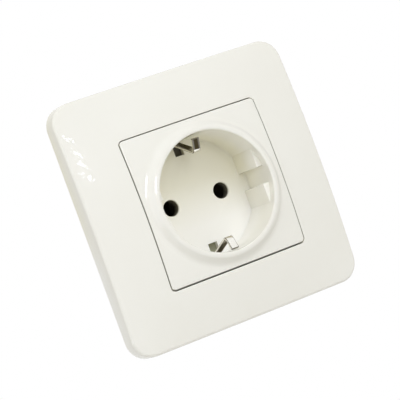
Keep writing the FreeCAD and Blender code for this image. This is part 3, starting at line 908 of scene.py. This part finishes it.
@dataclass
class CentreCover:
    """The square cover: crowned plate, collar, plug recess, guide flats and snap legs."""

    crown: Crown
    outline: Outline
    half: float = 0.024935
    corner: float = 0.0014
    edge: float = 0.00015
    wall: float = 0.002
    skirt: float = 0.0055
    skirt_wall: float = 0.0016
    bore: float = 0.01985
    well: float = 0.02145
    lip_height: float = 0.00265
    lip_width: float = 0.0015
    lip_inner: float = 0.000525
    lip_outer: float = 0.00165
    collar: float = 0.0235
    collar_cove: float = 0.0025
    recess_depth: float = 0.0182
    floor_thick: float = 0.0018
    floor_edge: float = 0.0005
    flat_chord: float = 0.0175
    flat_start: float = 0.0034
    groove: float = 0.0058
    flat_edge: float = 0.00025
    pin: float = 0.0095
    pin_bore: float = 0.00275
    pin_chamfer: float = 0.00012
    hole_land: float = 0.0008
    sleeve_room: float = 0.00415
    slot_half: float = 0.00165
    slot_inner: float = 0.0152
    slot_start: float = 0.0023
    leg_inner: float = 0.0208
    leg_outer: float = 0.0226
    leg_hook: float = 0.001
    leg_width: float = 0.006
    leg_offset: float = 0.014
    hook_start: float = 0.0003
    hook_end: float = 0.0018
    flat_sink: float = 0.0003
    flat_root: float = 0.0005
    flat_steps: int = 6
    edge_steps: int = 4
    plate_steps: int = 5
    floor_steps: int = 3
    hoop_steps: int = 48
    arc_steps: int = 12

    def __post_init__(self) -> None:
        """Works out the depths that follow from the crown."""
        middle = self.crown.depth(Vector((self.half, 0, 0)))
        self.skirt_back = middle + self.skirt
        self.lip = middle - self.lip_height
        self.floor = self.lip + self.recess_depth
        self.floor_back = self.floor + self.floor_thick
        self.slot_front = self.lip + self.slot_start

    def circle(self, radius: float, depth: Depth) -> Ring:
        """Makes a round ring in step with the outline.

        Args:
            radius: Its radius.
            depth: Its depth at each point.

        Returns:
            The ring.
        """
        ring = []
        for p, _ in self.outline.walk(self.half, self.corner):
            point = p.normalized() * radius
            ring.append(Vector((point.x, depth(point), point.z)))
        return ring

    def collar_run(self) -> list[tuple[float, float]]:
        """Runs over the collar, from the face up its slope, over the lip and into the bore.

        Returns:
            Radius and depth of each point.
        """
        face = [Vector((r, self.crown.depth(Vector((r, 0, 0))))) for r in (self.half, self.collar)]
        lip = [Vector((self.bore + self.lip_width, self.lip)), Vector((self.bore, self.lip))]
        run = face + lip + [Vector((self.bore, self.floor))]
        radii = (self.collar_cove, self.lip_outer, self.lip_inner)
        points = []
        for index, radius in enumerate(radii, start=1):
            points += self.turn(run[index - 1], run[index], run[index + 1], radius)
        return points

    def turn(self, before: Vector, corner: Vector, after: Vector, radius: float) -> list[tuple[float, float]]:
        """Round turn in a run of straight lines.

        Args:
            before: The point ahead of the corner.
            corner: The corner that is rounded.
            after: The point past the corner.
            radius: Radius of the turn.

        Returns:
            Points along the turn, both ends among them.
        """
        back = (before - corner).normalized()
        ahead = (after - corner).normalized()
        half = back.angle(ahead) / 2
        centre = corner + (back + ahead).normalized() * (radius / math.sin(half))
        first = corner + back * (radius / math.tan(half)) - centre
        last = corner + ahead * (radius / math.tan(half)) - centre
        sweep = first.angle_signed(last)
        spins = [Matrix.Rotation(-sweep * k / self.arc_steps, 2) for k in range(self.arc_steps + 1)]
        return [tuple(centre + spin @ first) for spin in spins]

    def collar_depth(self, radius: float, y: float) -> Depth:
        """Follows the crown at the collar's foot and runs level at its lip.

        Args:
            radius: Radius of a ring of the collar.
            y: Depth of the ring beside the middle of a side.

        Returns:
            The depth at each point of the ring.
        """
        base = self.crown.depth(Vector((self.collar, 0, 0)))
        outside = radius > self.bore + self.lip_inner
        fade = min(max((y - self.lip) / (base - self.lip), 0.0), 1.0) if outside else 0.0
        return lambda p: y + fade * (self.crown.depth(p.normalized() * self.collar) - base)

    def rings(self) -> list[Ring]:
        """Works out the shell, from the recess floor out over the collar and back behind the plate.

        Returns:
            Its rings.
        """
        crown = self.crown.depth
        under = self.crown.under(self.wall)
        run = self.collar_run()
        walk = self.outline.walk(self.half, self.corner)
        rounded = [self.crown.rolled(p, n, 0.0, self.edge, self.edge_steps) for p, n in walk]
        front = [[arc[k] for arc in rounded] for k in range(self.edge_steps + 1)]
        foot = self.circle(run[0][0], crown)
        plate = []
        for step in range(1, self.plate_steps):
            ring = [a.lerp(b, step / self.plate_steps) for a, b in zip(front[0], foot)]
            plate.append([Vector((p.x, crown(p), p.z)) for p in ring])
        collar = [self.circle(radius, self.collar_depth(radius, y)) for radius, y in run]
        recess = []
        for step in range(self.floor_steps + 1):
            angle = math.pi / 2 * step / self.floor_steps
            radius = self.bore - self.floor_edge * (1 - math.cos(angle))
            recess.append(self.circle(radius, level_at(self.floor - self.floor_edge * (1 - math.sin(angle)))))
        inner = self.half - self.skirt_wall
        outward = list(reversed(recess)) + list(reversed(collar)) + list(reversed(plate)) + front
        behind = [
            self.outline.ring(self.half, self.corner, level_at(self.skirt_back)),
            self.outline.ring(inner, self.corner / 2, level_at(self.skirt_back)),
            self.outline.ring(inner, self.corner / 2, under),
            self.circle(self.well, under),
            self.circle(self.well, level_at(self.floor_back)),
        ]
        return outward + behind

    def guide_flats(self, mesher: Mesher) -> None:
        """Adds the four guide blocks, one either side of each groove.

        Args:
            mesher: The cover's mesh.
        """
        wall = self.bore + self.flat_sink
        low = self.groove / 2
        high = math.sqrt(self.bore**2 - self.flat_chord**2)
        first = math.asin(low / wall)
        last = math.asin(high / wall)
        steps = self.flat_steps
        arc = [first + (last - first) * k / steps for k in range(steps + 1)]
        depth = self.lip + self.flat_start
        for side in Side:
            for up in (1, -1):
                outline = [Vector((self.flat_chord, depth, high)), Vector((self.flat_chord, depth, low))]
                outline += [Vector((wall * math.cos(a), depth, wall * math.sin(a))) for a in arc]
                corners = [Vector((p.x * side.value, p.y, p.z * up)) for p in outline]
                mesher.prism(corners, Vector((0, self.floor - depth + self.flat_root, 0)), self.flat_edge)

    def hoop(self, radius: float, y: float, side: Side) -> Ring:
        """Makes a ring about a pin hole's axis.

        Args:
            radius: Its radius.
            y: Its depth.
            side: Which pin hole.

        Returns:
            The ring.
        """
        angles = [2 * math.pi * k / self.hoop_steps for k in range(self.hoop_steps)]
        middle = side.value * self.pin
        return [Vector((middle + radius * math.cos(a), y, radius * math.sin(a))) for a in angles]

    def snap_legs(self, mesher: Mesher) -> None:
        """Adds the four legs that hook behind the support ring.

        Args:
            mesher: The cover's mesh.
        """
        root = self.crown.depth(Vector((self.leg_inner, 0, self.leg_offset))) + self.wall / 2
        outline = [
            Vector((self.leg_inner, root, 0)), Vector((self.leg_outer, root, 0)),
            Vector((self.leg_outer, self.hook_start, 0)),
            Vector((self.leg_outer + self.leg_hook, self.hook_start, 0)),
            Vector((self.leg_outer, self.hook_end, 0)), Vector((self.leg_inner, self.hook_end, 0)),
        ]
        for side in Side:
            for up in (1, -1):
                z = up * self.leg_offset - self.leg_width / 2
                corners = [Vector((p.x * side.value, p.y, z)) for p in outline]
                mesher.prism(corners, Vector((0, 0, self.leg_width)))

    def cutters(self) -> list[bpy.types.Object]:
        """Makes closed tools for the pin holes and the earth slots.

        Returns:
            The tools.
        """
        tools = []
        deep = self.floor_back + self.wall
        for side in Side:
            hole = Mesher("pin_tool")
            profile = [
                (self.pin_bore + 2 * self.pin_chamfer, self.floor - self.pin_chamfer),
                (self.pin_bore, self.floor + self.pin_chamfer), (self.pin_bore, deep),
            ]
            hole.loft([self.hoop(radius, y, side) for radius, y in profile], caps=True)
            tools.append(hole.done())
            sink = Mesher("sink_tool")
            depths = (self.floor + self.hole_land, deep)
            sink.loft([self.hoop(self.sleeve_room, y, side) for y in depths], caps=True)
            tools.append(sink.done())
            slot = Mesher("slot_tool")
            z0 = side.value * self.slot_inner
            z1 = side.value * (self.well + self.skirt_wall / 4)
            across = self.slot_half
            corners = [(-across, z0), (across, z0), (across, z1), (-across, z1)]
            through = Vector((0, deep - self.slot_front, 0))
            slot.prism([Vector((x, self.slot_front, z)) for x, z in corners], through)
            tools.append(slot.done())
        return tools

    def build(self) -> bpy.types.Object:
        """Builds the cover and dresses it.

        Returns:
            The finished piece.
        """
        shell = Mesher("cover_shell")
        shell.loft(self.rings(), caps=True)
        body = shell.done()
        carve(body, self.cutters())
        mesher = Mesher("centre_moulding")
        mesher.bm.from_mesh(body.data)
        bpy.data.objects.remove(body)
        joint = [f for f in mesher.bm.faces if self.in_joint(f)]
        self.guide_flats(mesher)
        self.snap_legs(mesher)
        return wear(mesher.done(joint), WHITE, "centre_cover")

    def in_joint(self, face: bmesh.types.BMFace) -> bool:
        """Tells whether a face looks into the joint round the cover.

        Args:
            face: The face.

        Returns:
            True where it does.
        """
        middle = face.calc_center_median()
        reach = max(abs(middle.x), abs(middle.z))
        return abs(reach - self.half) < self.edge / 4


@dataclass
class Mechanism:
    """The metal and dark pieces behind the covers, which keep their CAD solids."""

    sheet_edge: float = 0.00008
    clip_edge: float = 0.00016
    moulded_edge: float = 0.0003
    screw_edge: float = 0.0001
    finishes: dict[str, Finish] = field(default_factory=lambda: {
        "support_ring": ZINC,
        "neutral_contact": CONTACT,
        "line_contact": CONTACT,
        "neutral_contact_band": BAND,
        "line_contact_band": BAND,
        "earth_strap": BRASS,
        "earth_rivet": BRASS,
    })
    mouldings: tuple[str, ...] = ("contact_lid", "socket_base")
    fasteners: tuple[str, ...] = (
        "neutral_clamp", "line_clamp", "earth_clamp", "neutral_terminal_screw", "line_terminal_screw",
        "earth_terminal_screw", "ring_rivets", "lid_screws")

    def build(self) -> None:
        """Dresses every piece of the mechanism."""
        dress("earth_bow", NICKEL, self.clip_edge, rim=EDGE)
        for node, finish in self.finishes.items():
            dress(node, finish, self.sheet_edge)
        for node in self.mouldings:
            dress(node, DARK, self.moulded_edge)
        for node in self.fasteners:
            dress(node, ZINC, self.screw_edge)


@dataclass(frozen=True)
class Lamp:
    """A soft rectangular lamp that looks at the socket."""

    name: str
    place: tuple[float, float, float]
    width: float
    height: float
    power: float
    gloss: Gloss = Gloss.MIRRORED
    colour: Colour = (0.915, 0.962, 1.12)
    only_on: str = ""

    def build(self) -> None:
        """Hangs the lamp in the scene."""
        data = bpy.data.lights.new(self.name, "AREA")
        data.shape = "RECTANGLE"
        data.size = self.width
        data.size_y = self.height
        data.energy = self.power
        data.color = self.colour
        made = bpy.data.objects.new(self.name, data)
        made.location = self.place
        made.visible_glossy = self.gloss is not Gloss.HIDDEN
        made.visible_diffuse = self.gloss is not Gloss.ONLY
        made.rotation_mode = "QUATERNION"
        made.rotation_quaternion = (-Vector(self.place)).to_track_quat("-Z", "Y")
        bpy.context.scene.collection.objects.link(made)
        if self.only_on:
            lit = bpy.data.collections.new(self.name + "_lit")
            lit.objects.link(bpy.data.objects[self.only_on])
            made.light_linking.receiver_collection = lit


@dataclass
class Studio:
    """Camera, lamps, world and floor."""

    azimuth: float = -24.5025
    elevation: float = -0.6551
    roll: float = -20.2637
    distance: float = 0.59224
    lens: float = 167.152
    sensor: float = 36.0
    clip: tuple[float, float] = (0.01, 20.0)
    aim: tuple[float, float, float] = (-0.0058976, -0.0115, -0.000844)
    floor_drop: float = 0.5
    floor_half: float = 0.8
    sky: tuple[float, float, float] = (0.2, -0.81, 0.545)
    sky_tint: Colour = (1.0, 0.975, 0.905)
    sky_dim: float = 0.48
    sky_bright: float = 0.5
    lamps: tuple[Lamp, ...] = (
        Lamp("key", (0.12, -1.05, 0.5), 0.5, 0.5, 1.0, Gloss.HIDDEN),
        Lamp("high", (0.1, -0.85, 0.8), 0.5, 0.5, 3.5, Gloss.HIDDEN),
        Lamp("front", (-0.1, -1.12, 0.28), 0.35, 0.35, 1.25, Gloss.HIDDEN),
        Lamp("upper_left", (-0.62, -0.48, 0.6), 0.5, 0.5, 1.05, Gloss.HIDDEN),
        Lamp("side", (-0.98, -0.22, 0.08), 0.6, 0.8, 1.6),
        Lamp("low", (0.62, -0.42, -0.62), 0.6, 0.6, 1.4, Gloss.HIDDEN),
        Lamp("arc", (-0.352, -0.876, 0.33), 0.045, 0.24, 4.0, Gloss.ONLY, only_on="centre_moulding"),
        Lamp("pane_high", (0.006, -0.972, 0.291), 0.003, 0.01, 0.005, Gloss.ONLY),
        Lamp("pane_upper", (-0.02, -0.983, 0.25), 0.006, 0.008, 0.008, Gloss.ONLY),
        Lamp("pane_middle", (-0.045, -0.991, 0.217), 0.006, 0.008, 0.008, Gloss.ONLY),
        Lamp("pane_lower", (-0.059, -0.996, 0.178), 0.006, 0.007, 0.008, Gloss.ONLY),
        Lamp("pane_left", (-0.08, -0.993, 0.185), 0.004, 0.006, 0.004, Gloss.ONLY),
    )

    def camera(self) -> None:
        """Puts the camera where the photograph was taken from, with its tilt."""
        a = math.radians(self.azimuth)
        e = math.radians(self.elevation)
        back = Vector((math.sin(a) * math.cos(e), -math.cos(a) * math.cos(e), math.sin(e)))
        right = (-back).cross(Vector((0, 0, 1))).normalized()
        up = right.cross(-back)
        spin = Matrix.Rotation(math.radians(self.roll), 3, back)
        columns = Matrix((spin @ right, spin @ up, back)).transposed()
        data = bpy.data.cameras.new("camera")
        data.sensor_width = self.sensor
        data.lens = self.lens
        data.clip_start, data.clip_end = self.clip
        made = bpy.data.objects.new("camera", data)
        made.matrix_world = Matrix.Translation(Vector(self.aim) + back * self.distance) @ columns.to_4x4()
        bpy.context.scene.collection.objects.link(made)
        bpy.context.scene.camera = made

    def world(self) -> None:
        """White to the camera and to reflections, soft warm light from above the face for the rest."""
        world = bpy.data.worlds.new("studio")
        bpy.context.scene.world = world
        world.use_nodes = True
        tree = world.node_tree
        soft = tree.nodes["Background"]
        soft.inputs["Color"].default_value = (*self.sky_tint, 1.0)
        facing = tree.nodes.new("ShaderNodeVectorMath")
        facing.operation = "DOT_PRODUCT"
        facing.inputs[1].default_value = self.sky
        tree.links.new(tree.nodes.new("ShaderNodeTexCoord").outputs["Generated"], facing.inputs[0])
        level = tree.nodes.new("ShaderNodeMapRange")
        level.interpolation_type = "SMOOTHSTEP"
        level.inputs["To Min"].default_value = self.sky_dim
        level.inputs["To Max"].default_value = self.sky_bright
        tree.links.new(facing.outputs["Value"], level.inputs["Value"])
        tree.links.new(level.outputs["Result"], soft.inputs["Strength"])
        white = tree.nodes.new("ShaderNodeBackground")
        white.inputs["Color"].default_value = PURE_WHITE
        pick = tree.nodes.new("ShaderNodeMixShader")
        tree.links.new(seen(tree), pick.inputs["Fac"])
        tree.links.new(soft.outputs["Background"], pick.inputs[1])
        tree.links.new(white.outputs["Background"], pick.inputs[2])
        tree.links.new(pick.outputs["Shader"], tree.nodes["World Output"].inputs["Surface"])

    def floor(self) -> None:
        """Pale floor below the socket."""
        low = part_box("cover_frame")[0].z - self.floor_drop
        reach = self.floor_half
        turns = ((-reach, -reach), (reach, -reach), (reach, reach), (-reach, reach))
        mesher = Mesher("pale_floor")
        mesher.bm.faces.new([mesher.bm.verts.new((x, y, low)) for x, y in turns])
        made = mesher.done()
        made.data.materials.append(FLOOR.material())

    def build(self) -> None:
        """Sets up everything round the socket."""
        bpy.context.scene.view_settings.view_transform = "Standard"
        self.camera()
        self.world()
        for lamp in self.lamps:
            lamp.build()
        self.floor()
        LOG.info("studio set")


def main() -> None:
    """Builds the socket and its studio."""
    logging.basicConfig(level=logging.INFO, format="%(name)s: %(message)s")
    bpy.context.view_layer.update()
    crown = Crown()
    outline = Outline()
    CoverFrame(crown, outline).build()
    CentreCover(crown, outline).build()
    Mechanism().build()
    Studio().build()


if __name__ == "__main__":
    main()
